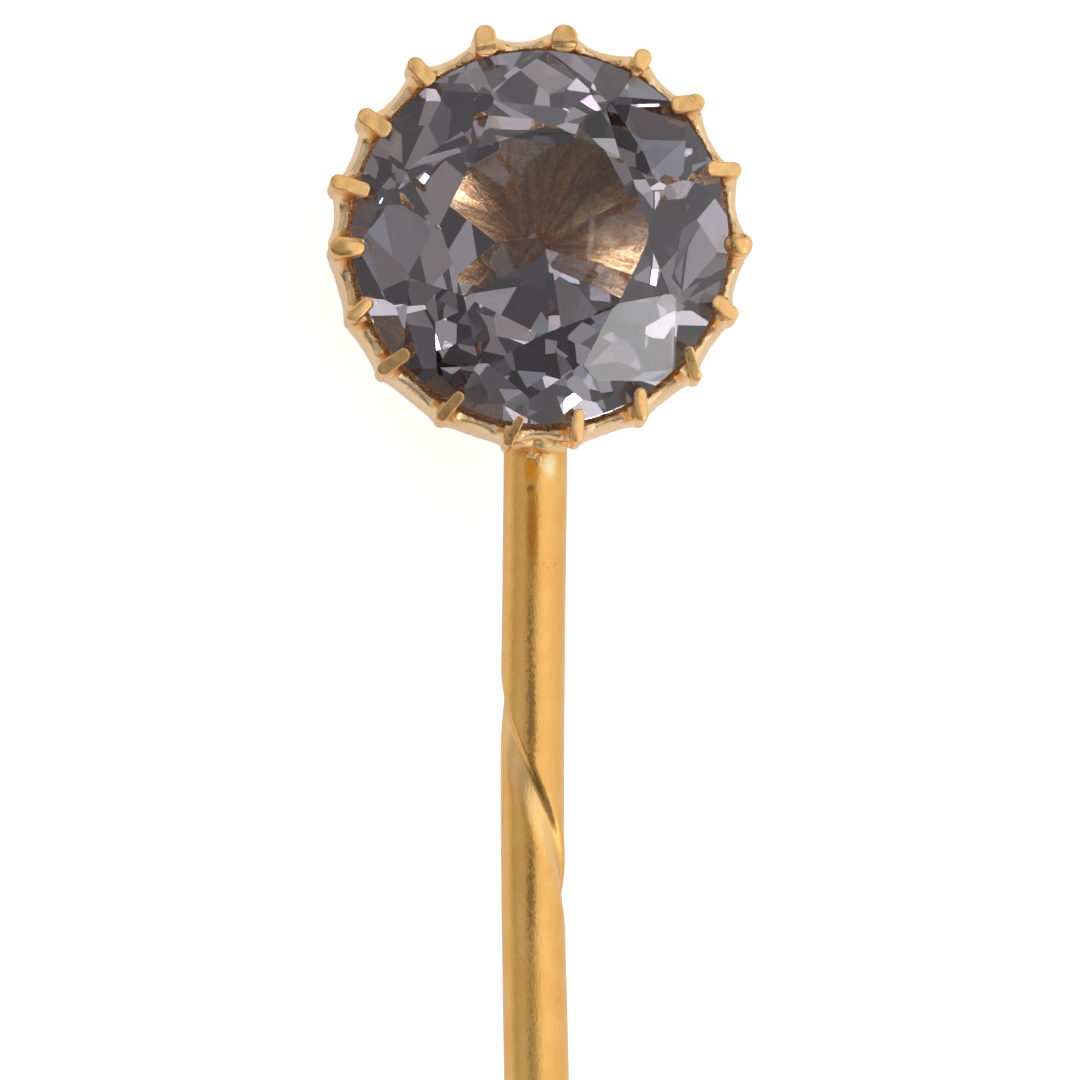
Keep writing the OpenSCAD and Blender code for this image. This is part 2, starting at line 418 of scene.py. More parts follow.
# Stone: a round brilliant whose point is recut in flat facets
stoneCut = {
    "girdle": 0.1,
    "tableShare": 0.56,
    "halfStep": 11.25,
    "upperSlope": 41.0,
    "kiteSlope": 34.0,
    "lowerSlope": 46.0,
    "mainSlope": 41.0,
    "crownTurn": -3.0,
    "slopeWander": 1.0,  # the cutter's hand, in degrees
    "turnWander": 2.0,
    "seed": 4,
    "blankSides": 96,  # of the round blank that the facets are cut from
    "blankHeight": 9,
    "cutSlack": 1e-5,
    "joinWithin": 1e-4,
}

# Facets round the point, listed one by one: direction, slope, how far from the axis each begins
pointFacets = [
    {"turn": 3, "slope": 33.5, "start": 2.10},
    {"turn": 50, "slope": 33.5, "start": 2.15},
    {"turn": 90, "slope": 33.5, "start": 1.98},
    {"turn": 140, "slope": 33.5, "start": 2.10},
    {"turn": 179, "slope": 38.5, "start": 2.80},
    {"turn": 231, "slope": 30.5, "start": 2.02},
    {"turn": 248, "slope": 35.0, "start": 2.33},
    {"turn": 276, "slope": 33.5, "start": 2.05},
    {"turn": 303, "slope": 36.5, "start": 2.40},
    {"turn": 322, "slope": 33.0, "start": 1.90},
]


# How far from the stone's middle a facet lies that has this slope and passes r and z
def reach(r, z, slope):
    a = math.radians(slope)
    return r * math.sin(a) + z * math.cos(a)


# Rows of facets: side (1 crown, -1 back), slope, how many, first turn, reach
def facetRows():
    c = stoneCut
    angles = ("halfStep", "upperSlope", "kiteSlope", "lowerSlope")
    halfStep, upper, kite, lower = [math.radians(c[key]) for key in angles]
    halfGirdle = c["girdle"] / 2
    rise = stoneRadius * (1 - math.cos(halfStep))
    upperReach = reach(stoneRadius, halfGirdle, c["upperSlope"])
    lowerReach = reach(stoneRadius, halfGirdle, c["lowerSlope"])
    kiteReach = reach(stoneRadius, halfGirdle + rise * math.tan(upper), c["kiteSlope"])
    mainReach = reach(stoneRadius, halfGirdle + rise * math.tan(lower), c["mainSlope"])
    tableRadius = c["tableShare"] * stoneRadius
    crownHeight = (kiteReach - tableRadius * math.sin(kite)) / math.cos(kite)
    kiteRun = math.cos(2 * halfStep) * math.tan(kite)
    upperRun = math.cos(halfStep) * math.tan(upper)
    starRadius = (upperReach / math.cos(upper) - kiteReach / math.cos(kite)) / (upperRun - kiteRun)
    starZ = kiteReach / math.cos(kite) - kiteRun * starRadius
    starIn = tableRadius * math.cos(2 * halfStep)
    starSlope = math.degrees(math.atan((crownHeight - starZ) / (starRadius - starIn)))
    starReach = reach(starIn, crownHeight, starSlope)
    mains = round(90 / c["halfStep"])
    return crownHeight, mainReach, [
        (1, c["upperSlope"], 2 * mains, c["crownTurn"] + c["halfStep"], upperReach),
        (1, c["kiteSlope"], mains, c["crownTurn"], kiteReach),
        (1, starSlope, mains, c["crownTurn"] + 2 * c["halfStep"], starReach),
        (-1, c["lowerSlope"], 2 * mains, c["halfStep"], lowerReach),
        (-1, c["mainSlope"], mains, 0, mainReach),
    ]


# Every facet as side, slope, turn, and a point that its plane passes, each a little off true
def facetPlanes():
    crownHeight, mainReach, rows = facetRows()
    hand = random.Random(stoneCut["seed"])
    slopeOff, turnOff = stoneCut["slopeWander"], stoneCut["turnWander"]
    planes = []
    for side, slope, count, first, distance in rows:
        a = math.radians(slope)
        for i in range(count):
            turn = first + i * 360 / count
            foot = Vector(turned(distance * math.sin(a), 0, side * distance * math.cos(a), turn))
            planes.append((side, slope + hand.uniform(-slopeOff, slopeOff),
                           turn + hand.uniform(-turnOff, turnOff), foot))
    main = math.radians(stoneCut["mainSlope"])
    step = 4 * stoneCut["halfStep"]
    for facet in pointFacets:
        z = (mainReach - facet["start"] * math.sin(main)) / math.cos(main)
        foot = Vector(turned(facet["start"], 0, -z, round(facet["turn"] / step) * step))
        planes.append((-1, facet["slope"], facet["turn"], foot))
    planes.append((1, 0, 0, Vector((0, 0, crownHeight))))
    return crownHeight, planes


def makeStone():
    crownHeight, planes = facetPlanes()
    middleZ = stoneHigh.z - crownHeight
    bm = bmesh.new()
    bmesh.ops.create_cone(bm, cap_ends=True, segments=stoneCut["blankSides"], radius1=stoneRadius,
                          radius2=stoneRadius, depth=stoneCut["blankHeight"])
    for side, slope, turn, foot in planes:
        a = math.radians(slope)
        normal = Vector(turned(math.sin(a), 0, side * math.cos(a), turn))
        cut = bmesh.ops.bisect_plane(
            bm, geom=bm.verts[:] + bm.edges[:] + bm.faces[:], dist=stoneCut["cutSlack"],
            plane_co=foot, plane_no=normal, clear_outer=True)
        edges = [e for e in cut["geom_cut"] if isinstance(e, bmesh.types.BMEdge)]
        if edges:
            bmesh.ops.contextual_create(bm, geom=edges)
    bmesh.ops.remove_doubles(bm, verts=bm.verts[:], dist=stoneCut["joinWithin"])
    bmesh.ops.recalc_face_normals(bm, faces=bm.faces[:])
    place = Matrix.Scale(mm, 4) @ Matrix.Translation((0, 0, middleZ))
    bmesh.ops.transform(bm, matrix=place, verts=bm.verts[:])
    mesh = bpy.data.meshes.new("stone_cut")
    bm.to_mesh(mesh)
    bm.free()
    mesh.materials.append(stoneGlass)
    print("stick pin: stone has", len(mesh.polygons), "facets")
    return addObject("stone_cut", mesh), middleZ


stone, girdleZ = makeStone()
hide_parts("stone")

# Cup: a closed collet with a scalloped rim, a little thicker on one side
rimInner = stoneRadius - 0.11
cup = {
    "columns": 900,
    "rimZ": girdleZ - 0.3,
    "rimInner": rimInner,
    "rimOuter": rimInner + 0.43,
    "rimRound": 0.17,  # rounding of the rim's outer edge
    "shelf": stoneRadius + 0.03,  # where the metal may rise past the girdle
    "bevel": 0.05,  # broken edge beside the stone
    "bevelDrop": 0.09,
    "bevelRings": 5,
    "bevelCurve": 1.5,
    "backRadius": 2.5,
    "backFlat": 0.01,  # the back is flat up to here
    "floor": 0.35,
    "bowl": 0.12,  # how fast the inside climbs
    "bowlRadius": 2.65,
    "bowlRings": 10,
    "bowlStep": 0.25,
    "bowlTop": girdleZ - 0.6,  # the inside is uneven below this
    "scrapedTop": 2.9,
    "trueIn": 0.02,  # flutes and ribs begin this far outside the shelf
    "trueOut": 0.06,  # and are full this far inside the wall
    "fluteDepth": 0.05,
    "fluteLength": 0.85,
    "fluteSide": (0.04, 0.42),  # beside a claw, where a flute begins and is full
    "thickSide": 190.0,
    "thicker": 0.032,
    "thickerZ": (1.8, 2.4),
    "footRise": 0.30,  # the rim climbs towards each claw
    "footRun": 0.085,
    "footZ": 2.9,
    "ribOut": 0.11,
    "ribRun": 0.22,
    "ribZ": (2.1, 2.9),
    "besideRadius": 4.0,  # where distances along the rim are measured
    "waviness": 0.014,
    "waveScales": (1.7, 6.0),
    "roughEdge": 0.022,
    "edgeScale": 9.0,
}

# Claws, clockwise from the top: direction, how far the outer end reaches, width and length of the filed
# top. Where a claw isn't plain, its row also gives the sideways bend, the doming, the taper to the tip,
# the slope down to the outer end and sideways, and the drop of the rough tip.
plainClaw = {"bend": 0, "dome": 0.0, "taper": 0.0, "pitch": 0, "roll": 0, "drop": 0.0}
clawRows = [
    {"turn": 105.4, "out": 4.40, "width": 0.42, "length": 0.62, "bend": -8, "taper": -0.15, "drop": 0.05},
    {"turn": 83.6, "out": 4.29, "width": 0.52, "length": 0.55, "bend": 6, "taper": -0.05, "roll": 2,
     "drop": 0.10},
    {"turn": 60.6, "out": 4.32, "width": 0.44, "length": 0.60, "bend": 4, "dome": 0.1, "taper": 0.55,
     "roll": -5, "drop": 0.05},
    {"turn": 40.5, "out": 4.29, "width": 0.35, "length": 0.68, "bend": -34},
    {"turn": 18.9, "out": 4.24, "width": 0.31, "length": 0.70, "bend": -21, "pitch": 4, "roll": 3},
    {"turn": -2.0, "out": 4.25, "width": 0.5, "length": 0.58, "dome": 0.45, "taper": 0.2,
     "pitch": 6, "drop": 0.08},
    {"turn": -22.4, "out": 4.26, "width": 0.32, "length": 0.62, "bend": -20, "dome": 0.1, "taper": 0.1,
     "pitch": 5, "roll": 4},
    {"turn": -42.0, "out": 4.29, "width": 0.25, "length": 0.70, "bend": -32, "dome": 0.1, "taper": 0.2,
     "pitch": 28, "roll": -8},
    {"turn": -61.2, "out": 4.26, "width": 0.30, "length": 0.68, "bend": -27, "dome": 0.35, "taper": 0.2,
     "pitch": 8, "roll": 5},
    {"turn": -80.2, "out": 4.24, "width": 0.28, "length": 0.68, "bend": -16, "dome": 0.25, "taper": 0.2,
     "pitch": 6, "roll": 7},
    {"turn": -99.0, "out": 4.30, "width": 0.21, "length": 0.66, "bend": -20, "taper": 0.15, "pitch": 22,
     "roll": 6},
    {"turn": -118.6, "out": 4.26, "width": 0.25, "length": 0.70, "bend": -14, "taper": 0.15, "pitch": 24,
     "roll": 5},
    {"turn": -139.4, "out": 4.28, "width": 0.29, "length": 0.72, "bend": -7, "taper": 0.1, "pitch": 22,
     "roll": 3},
    {"turn": -156.0, "out": 4.25, "width": 0.29, "length": 0.64, "bend": 20, "dome": 0.5, "taper": 0.1},
    {"turn": -176.0, "out": 4.26, "width": 0.46, "length": 0.74, "bend": -3, "dome": 0.5, "taper": 0.2},
    {"turn": 166.0, "out": 4.36, "width": 0.32, "length": 0.82, "bend": -2, "taper": 0.05},
    {"turn": 146.2, "out": 4.40, "width": 0.36, "length": 0.75},
    {"turn": 126.6, "out": 4.41, "width": 0.33, "length": 0.67, "bend": 9},
]
claws = [plainClaw | row for row in clawRows]


# Distance along the rim from the nearest claw's side, below zero inside it
def besideClaw(turn):
    gaps = []
    for claw in claws:
        away = abs((turn - claw["turn"] + 180) % 360 - 180)
        gaps.append(math.radians(away) * cup["besideRadius"] - claw["width"] / 2)
    return min(gaps)


# Cross-section of the cup, from the back's middle round the rim to the floor's middle: r, z and its stretch
def cupRows():
    c = cup
    outer, inner, top, shelf = c["rimOuter"], c["rimInner"], c["rimZ"], c["shelf"]
    flat, edge = outer - c["rimRound"], shelf + c["bevel"]
    wall = [
        (1.3, 0), (2.2, 0), (c["backRadius"], 0), (2.57, 0.02), (2.65, 0.10), (2.86, 0.37), (3.06, 0.63),
        (3.22, 0.85), (3.42, 1.14), (3.59, 1.37), (3.74, 1.60), (3.85, 1.80), (3.94, 2.00), (4.01, 2.17),
        (4.055, 2.32), (outer - 0.01, 2.46), (outer, 2.60), (outer - 0.002, 2.76), (outer - 0.006, 2.90),
        (outer - 0.015, top - 0.20), (outer - 0.03, top - 0.13),
    ]
    rim = [(outer - 0.052, top - 0.082), (outer - 0.08, top - 0.045), (outer - 0.11, top - 0.02),
           (outer - 0.14, top - 0.006), (flat, top)]
    rim += [(mix(flat, edge, i / 2), top) for i in (1, 2)]
    for i in range(1, c["bevelRings"] + 1):
        share = i / c["bevelRings"]
        rim.append((mix(edge, shelf, share), top - c["bevelDrop"] * share ** c["bevelCurve"]))
    lip = [
        (shelf - 0.01, top - 0.14), (shelf - 0.05, top - 0.155), (inner + 0.04, top - 0.155),
        (inner + 0.01, top - 0.165), (inner, top - 0.19), (inner - 0.01, top - 0.3),
        (inner - 0.03, top - 0.45), (3.56, 2.3), (3.50, 2.0), (3.44, 1.75), (3.26, 1.58), (2.98, 1.38),
    ]
    bowl = [c["bowlRadius"] - c["bowlStep"] * i for i in range(c["bowlRings"])]
    lip += [(r, c["floor"] + c["bowl"] * r * r) for r in bowl]
    lines = {"wall": wall, "rim": rim, "lip": lip}
    return [(r, z, stretch) for stretch, line in lines.items() for r, z in line]


# A row's point with its flute, rib and thicker side, and with metal that is never quite true
def cupPoint(r, z, stretch, turn, beside):
    c = cup
    newR, newZ = r, z
    if stretch != "lip":
        away = max(0.0, beside)
        outwards = smooth(c["shelf"] + c["trueIn"], c["rimOuter"] - c["trueOut"], r)
        rib = c["ribOut"] * math.exp(-away / c["ribRun"]) * smooth(*c["ribZ"], z)
        hollow = c["fluteDepth"] * smooth(*c["fluteSide"], beside)
        hollow *= smooth(c["rimZ"] - c["fluteLength"], c["rimZ"], z)
        lean = c["thicker"] * math.cos(math.radians(turn - c["thickSide"])) * smooth(*c["thickerZ"], z)
        newR += outwards * (rib - hollow + lean)
        foot = c["footRise"] * math.exp(-away / c["footRun"])
        if stretch == "rim":
            newZ += foot * smooth(c["shelf"], c["shelf"] + c["bevel"], r)
        else:
            newZ += foot * smooth(c["footZ"], c["rimZ"], z)
    if z > c["backFlat"]:
        spot = Vector(turned(newR, 0, newZ, turn))
        broad, fine = c["waveScales"]
        push = unevenness(spot * broad, spot * fine + Vector((9, 0, 0))) * c["waviness"]
        if stretch == "rim":
            edge = smooth(c["shelf"] + c["bevel"] + c["trueOut"], c["shelf"] + c["trueIn"], r)
            push += c["roughEdge"] * edge * noise.noise(spot * c["edgeScale"] + Vector((0, 4, 0)))
            newZ += push
        elif stretch == "wall":
            newR += push
        elif z < c["bowlTop"]:
            newZ -= abs(push)
    return turned(newR, 0, newZ, turn)


def makeCup():
    rows = cupRows()
    columns = cup["columns"]
    turns = [360 * j / columns for j in range(columns)]
    beside = [besideClaw(turn) for turn in turns]
    points = []
    for r, z, stretch in rows:
        points += [cupPoint(r, z, stretch, turn, near) for turn, near in zip(turns, beside)]
    faces = gridFaces(len(rows), columns, caps=False)
    scraped = [int(stretch == "lip" and z <= cup["scrapedTop"]) for r, z, stretch in rows[:-1]]
    finishOf = [finish for finish in scraped for j in turns]
    under, floor = len(points), len(points) + 1
    points += [(0, 0, 0), (0, 0, cup["floor"])]
    last = (len(rows) - 1) * columns
    for j in range(columns):
        k = (j + 1) % columns
        faces += [(under, k, j), (floor, last + j, last + k)]
        finishOf += [0, 1]
    return makePiece("gold_cup", points, faces, [materials["cupGold"], scrapedGold], sharpAngle=50,
                     finishOf=finishOf)


goldCup = makeCup()
print("stick pin: cup turned")

# Filing and clearance of all claws
clawShape = {
    "tipThick": 0.17,
    "edge": 0.035,  # rounding of the filed face's edge
    "lean": 0.06,  # all faces were filed leaning a little to +X
    "clearance": 0.03,  # over the stone, as in the CAD model
    "margin": 0.015,  # and this much more
    "thinnest": 0.03,
    "wallSlack": 0.01,
    "postLow": 2.72,
    "postFall": 1.6,
    "tipRun": 0.2,  # before the tip, where the rough end begins to drop
    "dropEnd": 0.1,
    "bendRun": 0.4,
    "firstBend": 0.35,  # share of the bend that the outer end has
    "endRound": 0.5,  # roundings of both ends, as shares of the width
    "tipRound": 0.36,
    "leastHalf": 0.012,
    "domeDepth": 0.3,
    "fileMarks": 0.01,
    "fileScale": 5.0,
}
# Sections from the outer end and back from the tip, then shares of the half-width and of the side's height
clawAlong = [0.0, 0.004, 0.014, 0.03, 0.05, 0.075, 0.105, 0.14, 0.18, 0.23, 0.28, 0.33, 0.38, 0.43, 0.48]
clawTipward = [0.18, 0.13, 0.09, 0.06, 0.038, 0.02, 0.008, 0.0]
clawSide = [0.4, 0.66, 0.75, 0.83, 0.9, 0.95, 0.985, 1.0]
clawAcross = [-u for u in reversed(clawSide)] + [0.0] + clawSide
clawDown = [0.25, 0.6, 0.9]
clawUnder = [-2, -6, 8, 5, 1]  # marks across that the underside has too


# Height of the metal's underside over the stone, at distance r from the middle
def crownZ(r):
    slope = math.tan(math.radians(stoneCut["upperSlope"]))
    rise = stoneRadius * (1 - math.cos(math.radians(stoneCut["halfStep"]))) * slope
    over = girdleZ + stoneCut["girdle"] / 2 + rise + clawShape["clearance"] + clawShape["margin"]
    return over + (stoneRadius - r) * slope


# Middle line of a claw's top: distance from the outer end, place, direction
def clawLine(claw):
    shape = clawShape
    length = claw["length"]
    marks = [s for s in clawAlong if s < length - shape["tipRun"]] + [length - t for t in clawTipward]
    spot = Vector(turned(claw["out"], 0, 0, claw["turn"]))
    line = []
    before = 0.0
    for s in marks:
        bent = mix(shape["firstBend"], 1.0, smooth(0, shape["bendRun"], s))
        way = Vector(turned(1, 0, 0, claw["turn"] + 180 + claw["bend"] * bent))
        spot = spot + way * (s - before)
        before = s
        line.append((s, spot.copy(), way))
    return line


def clawHalfWidth(claw, s):
    half = claw["width"] / 2 * (1 - claw["taper"] * s / claw["length"])
    outer = min(1.0, s / (claw["width"] * clawShape["endRound"]))
    inner = min(1.0, (claw["length"] - s) / (claw["width"] * clawShape["tipRound"]))
    half = half * math.sqrt(1 - (1 - outer) ** 2) * math.sqrt(1 - (1 - inner) ** 2)
    return max(clawShape["leastHalf"], half)


def makeClaw(claw, index):
    shape = clawShape
    wallIn = stoneRadius + shape["clearance"]
    line = clawLine(claw)
    length = claw["length"]
    tipZ = crownZ(min(wallIn, line[-1][1].length)) + shape["tipThick"]
    outerZ = tipZ - math.tan(math.radians(claw["pitch"])) * length
    roll = math.tan(math.radians(claw["roll"]))
    dome = claw["dome"] * claw["width"] * shape["domeDepth"]
    middle = line[len(line) // 2][1]
    points = []
    for s, spot, way in line:
        side = Vector((-way.y, way.x, 0))
        half = clawHalfWidth(claw, s)
        section = []
        for u in clawAcross:
            p = spot + side * (u * half)
            z = mix(outerZ, tipZ, s / length)
            z -= claw["drop"] * smooth(length - shape["tipRun"], length - shape["dropEnd"], s)
            z -= shape["lean"] * (p.x - middle.x)
            z += roll * u * half - dome * (u * u + (2 * s / length - 1) ** 2)
            z += shape["fileMarks"] * noise.noise(p * shape["fileScale"] + Vector((0, 0, index)))
            inside = min(half * (1 - abs(u)), s, length - s)
            if inside < shape["edge"]:
                z -= shape["edge"] * (1 - math.sqrt(1 - (1 - inside / shape["edge"]) ** 2))
            under = shape["postLow"] - shape["postFall"] * s
            if p.length < wallIn + shape["wallSlack"]:
                under = crownZ(p.length)
            section.append((p, z, min(under, z - shape["thinnest"])))
        first, last = section[0], section[-1]
        ring = [(p, z) for p, z, low in section]
        ring += [(last[0], mix(last[1], last[2], share)) for share in clawDown]
        ring += [(section[k][0], section[k][2]) for k in clawUnder]
        ring += [(first[0], mix(first[1], first[2], share)) for share in reversed(clawDown)]
        points += [(p.x, p.y, z) for p, z in ring]
    return points, len(line), len(clawAcross) + 2 * len(clawDown) + len(clawUnder)


def makeClaws():
    points, faces = [], []
    for index, claw in enumerate(claws):
        own, rings, around = makeClaw(claw, index)
        faces += gridFaces(rings, around, start=len(points))
        points += own
    return makePiece("gold_claws", points, faces, [materials["clawGold"]], sharpAngle=45)


goldClaws = makeClaws()
print("stick pin: claws filed")

# Stem: round wire with one twist, a slight bow and a long taper
stem = {
    "root": cup["rimOuter"] - 0.49,  # inside the cup's wall
    "rootZ": 2.1,
    "topRadius": 0.64,
    "radius": 0.65,
    "swell": (14.0, 16.0),
    "taper": 9.0,
    "tipRadius": 0.07,
    "tipAngles": (25, 50, 72),  # rings of the rounded point
    "around": 120,
    "stops": (8.0, 14.2, 17.2),  # where the rings' spacing changes
    "steps": (0.16, 0.05, 0.16, 0.6, 0.3),
    "dents": 0.0022,
    "dentStretch": 0.5,
    "dentScales": (2.6, 5.5),
    "dentsFade": (6, -2),  # past the shoulder, where they end and are full
}
# Where the wire strays sideways: distance from the cup's middle, how far along it is felt, how much
stemBends = [
    {"at": 10.5, "span": 5.0, "side": -0.06},
    {"at": 18.5, "span": 3.4, "side": 0.06},
]
stemLength = -goldLow.y - stem["root"]
stemRun = stemLength - stem["taper"]
stemLean = math.asin((stem["rootZ"] - stem["radius"]) / stemRun)
stemShoulder = stem["root"] + stemRun

# The twist's groove: angles are round the wire, and pairs are distances down it from the groove's line
twist = {
    "left": 9.2,  # from the cup's middle, where the groove passes the wire's left side
    "halfTurn": 3.9,
    "from": 232.0,
    "to": -56.0,
    "fromFade": 50,
    "toFade": 55,
    "depth": 0.105,
    "wall": (-0.62, -0.22),
    "floor": (-0.25, 0.95),
    "streaks": 0.04,
    "streakTurns": 34,
    "streaksIn": (-0.3, -0.1),
    "streaksOut": (0.8, 0.3),
    "lip": -0.05,
    "lipAt": -0.76,
    "lipWidth": 0.16,
    # where the flank is worn smoother and painted paler as a painted sheen
    "rubAndSheenIn": (-0.34, -0.16),
    "rubAndSheenOut": (0.95, 0.25),
    "rubAndSheenWave": 0.25,
}


# How deep the groove is at this angle and distance from the cup's middle, and how worn its flank is, which is
# also where a paler painted sheen goes
def twistCut(angle, distance):
    t = twist
    deepest = 0.0
    flank = 0.0
    for turn in (-360, 0, 360):
        a = angle + turn
        if not t["to"] < a < t["from"]:
            continue
        fade = smooth(t["to"], t["to"] + t["toFade"], a)
        fade *= smooth(t["from"], t["from"] - t["fromFade"], a)
        e = distance - t["left"] - (180 - a) / 180 * t["halfTurn"]
        wave = math.sin(e * t["streakTurns"])
        streaks = t["streaks"] * wave * smooth(*t["streaksIn"], e) * smooth(*t["streaksOut"], e)
        groove = smooth(*t["wall"], e) * (1 - smooth(*t["floor"], e)) * (1 + streaks)
        lip = t["lip"] * math.exp(-((e - t["lipAt"]) / t["lipWidth"]) ** 2)
        deepest += fade * (groove + lip)
        # the flank is worn smoother here and painted paler, a painted sheen
        rubbed = smooth(*t["rubAndSheenIn"], e) * smooth(*t["rubAndSheenOut"], e)
        flank = max(flank, fade * rubbed * (1 - t["rubAndSheenWave"] + t["rubAndSheenWave"] * wave))
    return t["depth"] * deepest, flank


def stemDent(a, distance):
    coarse, fine = stem["dentScales"]
    end, full = stem["dentsFade"]
    drawn = Vector((math.cos(a), math.sin(a), distance * stem["dentStretch"]))
    spot = Vector((math.cos(a), math.sin(a), distance))
    fade = smooth(stemShoulder + end, stemShoulder + full, distance)
    return unevenness(drawn * coarse, spot * fine) * (stem["dents"] * fade)


# Distance from the cup's middle and radius of every ring, close together where the twist is
def stemRings():
    tip = stem["tipRadius"]
    stops = (stem["root"], *stem["stops"], stemShoulder, stem["root"] + stemLength - tip)
    distances = []
    for low, high, step in zip(stops, stops[1:], stem["steps"]):
        count = max(1, round((high - low) / step))
        distances += [mix(low, high, i / count) for i in range(count)]
    rings = []
    for distance in distances + [stops[-1]]:
        radius = mix(stem["topRadius"], stem["radius"], smooth(*stem["swell"], distance))
        if distance > stemShoulder:
            radius = mix(stem["radius"], tip, (distance - stemShoulder) / (stem["taper"] - tip))
        rings.append((distance, radius))
    for angle in stem["tipAngles"]:
        a = math.radians(angle)
        rings.append((stops[-1] + tip * math.sin(a), tip * math.cos(a)))
    return rings


def makeStem():
    along = Vector((0, -math.cos(stemLean), -math.sin(stemLean)))
    up = Vector((0, -math.sin(stemLean), math.cos(stemLean)))
    base = Vector((0, -stem["root"], stem["rootZ"]))
    rings = stemRings()
    points, flanks = [], []
    for distance, radius in rings:
        middle = base + along * (distance - stem["root"])
        for bend in stemBends:
            middle.x += bend["side"] * math.exp(-((distance - bend["at"]) / bend["span"]) ** 2)
        for j in range(stem["around"]):
            angle = 360 * j / stem["around"]
            a = math.radians(angle)
            cut, flank = twistCut(angle, distance)
            flanks.append(flank)
            r = radius - cut + stemDent(a, distance) - stem["dents"]
            points.append(tuple(middle + Vector((r * math.cos(a), 0, 0)) + up * (r * math.sin(a))))
    faces = gridFaces(len(rings), stem["around"])
    piece = makePiece("gold_stem", points, faces, [materials["stemGold"]], sharpAngle=60)
    piece.data.attributes.new("flank", "FLOAT", "POINT").data.foreach_set("value", flanks)
    return piece


goldStem = makeStem()
print("stick pin: stem drawn, length", round(stemLength, 2))

# Solder: two lumps that run from the rim onto the stem, and two crumbs of it below them
solderLumps = [
    {"at": (-0.30, -4.03, 2.86), "size": (0.38, 0.21, 0.24), "lumpy": 0.28},
    {"at": (0.24, -4.04, 2.86), "size": (0.42, 0.22, 0.24), "lumpy": 0.28},
    {"at": (-0.06, -4.26, 2.66), "size": (0.15, 0.15, 0.13), "lumpy": 0.35},
    {"at": (0.03, -4.38, 2.67), "size": (0.10, 0.17, 0.10), "lumpy": 0.35},
]
solderShape = {
    "around": 36,
    "rings": 17,
    "lumpScale": 1.5,
    "lean": 0.22,  # wiped towards +X as the file went
}


def makeSolder():
    around, rings = solderShape["around"], solderShape["rings"]
    points, faces = [], []
    for index, lump in enumerate(solderLumps):
        faces += gridFaces(rings, around, start=len(points))
        for i in range(rings):
            polar = math.pi * (i + 0.5) / rings
            for j in range(around):
                a = 2 * math.pi * j / around
                way = Vector((math.sin(polar) * math.cos(a), math.sin(polar) * math.sin(a), math.cos(polar)))
                bumps = noise.noise(way * solderShape["lumpScale"] + Vector((index * 5, 0, 0)))
                r = 1 + lump["lumpy"] * bumps
                x, y, z = [c + w * s * r for c, w, s in zip(lump["at"], way, lump["size"])]
                points.append((x, y, z - solderShape["lean"] * (x - lump["at"][0])))
    return makePiece("solder_beads", points, faces, [materials["solderGold"]], sharpAngle=70)


solder = makeSolder()

for piece in (goldCup, goldClaws, goldStem, solder):
    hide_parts("gold_pin")
for piece in (stone, goldCup, goldClaws, goldStem, solder):
    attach(piece, "root")

# Studio
studio = {
    "floorSize": 4.0,
    "floorColour": (0.86, 0.86, 0.86),
    "floorGrain": (0.88, 0.88, 0.88),
    "grainScale": 40,
    "floorShader": {"Roughness": 0.9, "Specular IOR Level": 0.1, "Emission Color": (1, 1, 1)},
    "floorGlow": (0.28, 0.68),  # as the gold sees it, as the camera sees it
    "cardWidth": 1.5,
    "cardGap": 0.002,  # under an upright card
    "room": 0.085,
    "bounces": 32,
    "glossyBounces": 12,
}


def makeFloor():
    material, tree, shader = newMaterial("paleFloor", studio["floorShader"])
    flecks = placeGroup(tree, scratches, Scale=studio["grainScale"])["Lines"]
    tint = blend(tree, flecks, studio["floorColour"], studio["floorGrain"])
    seen = addNode(tree, "ShaderNodeLightPath").outputs["Is Camera Ray"]
    glow = remap(tree, seen, 0, 1, *studio["floorGlow"])
    feed(tree, shader, {"Base Color": tint, "Emission Strength": glow})
    half = studio["floorSize"] / 2
    mesh = bpy.data.meshes.new("floor")
    corners = [(-half, -half, 0), (half, -half, 0), (half, half, 0), (-half, half, 0)]
    mesh.from_pydata(corners, [], [(0, 1, 2, 3)])
    mesh.materials.append(material)
    floor = addObject("floor", mesh)


# Flat lights facing down, metres above the pin, each across these degrees from straight up, towards +X
# and +Y. The soft boxes light the gold and the stone's faces, and aren't seen through the stone.
softBoxes = {
    "rightBox": {"height": 0.40, "x": (6, 62), "y": (-18, 38), "bright": 0.9},
    "lowBox": {"height": 0.40, "x": (26, 62), "y": (-45, -18), "bright": 0.9},
    "middleBox": {"height": 0.45, "x": (-30, 6), "y": (-37, 45), "bright": 0.28},
    "leftBox": {"height": 0.25, "x": (-74, -30), "y": (-20, 45), "bright": 0.5},
    "backBox": {"height": 0.25, "x": (-42, 42), "y": (45, 74), "bright": 0.8},
    "cornerBox": {"height": 0.25, "x": (-74, -48), "y": (45, 74), "bright": 0.35},
    "frontLeft": {"height": 0.25, "x": (-62, -9), "y": (-74, -54), "bright": 0.7},
    "frontRight": {"height": 0.25, "x": (9, 50), "y": (-74, -54), "bright": 0.7},
    "upperLamp": {"height": 0.30, "x": (51, 60), "y": (30, 40), "bright": 3.0},
    "lowerLamp": {"height": 0.30, "x": (40, 54), "y": (-46, -32), "bright": 2.5},
    "veilLamp": {"height": 0.28, "x": (55, 63), "y": (-59, -51), "bright": 4.0},
}

# Upright cards round the pin: distance from it, direction they stand in and height
sideCards = {
    "rightSide": {"distance": 0.76, "turn": 0, "height": 0.40, "bright": 0.8},
    "leftSide": {"distance": 0.88, "turn": 180, "height": 0.25, "bright": 0.28},
    "backSide": {"distance": 0.88, "turn": 90, "height": 0.25, "bright": 0.7},
    "frontSide": {"distance": 0.88, "turn": -90, "height": 0.25, "bright": 0.65},
}

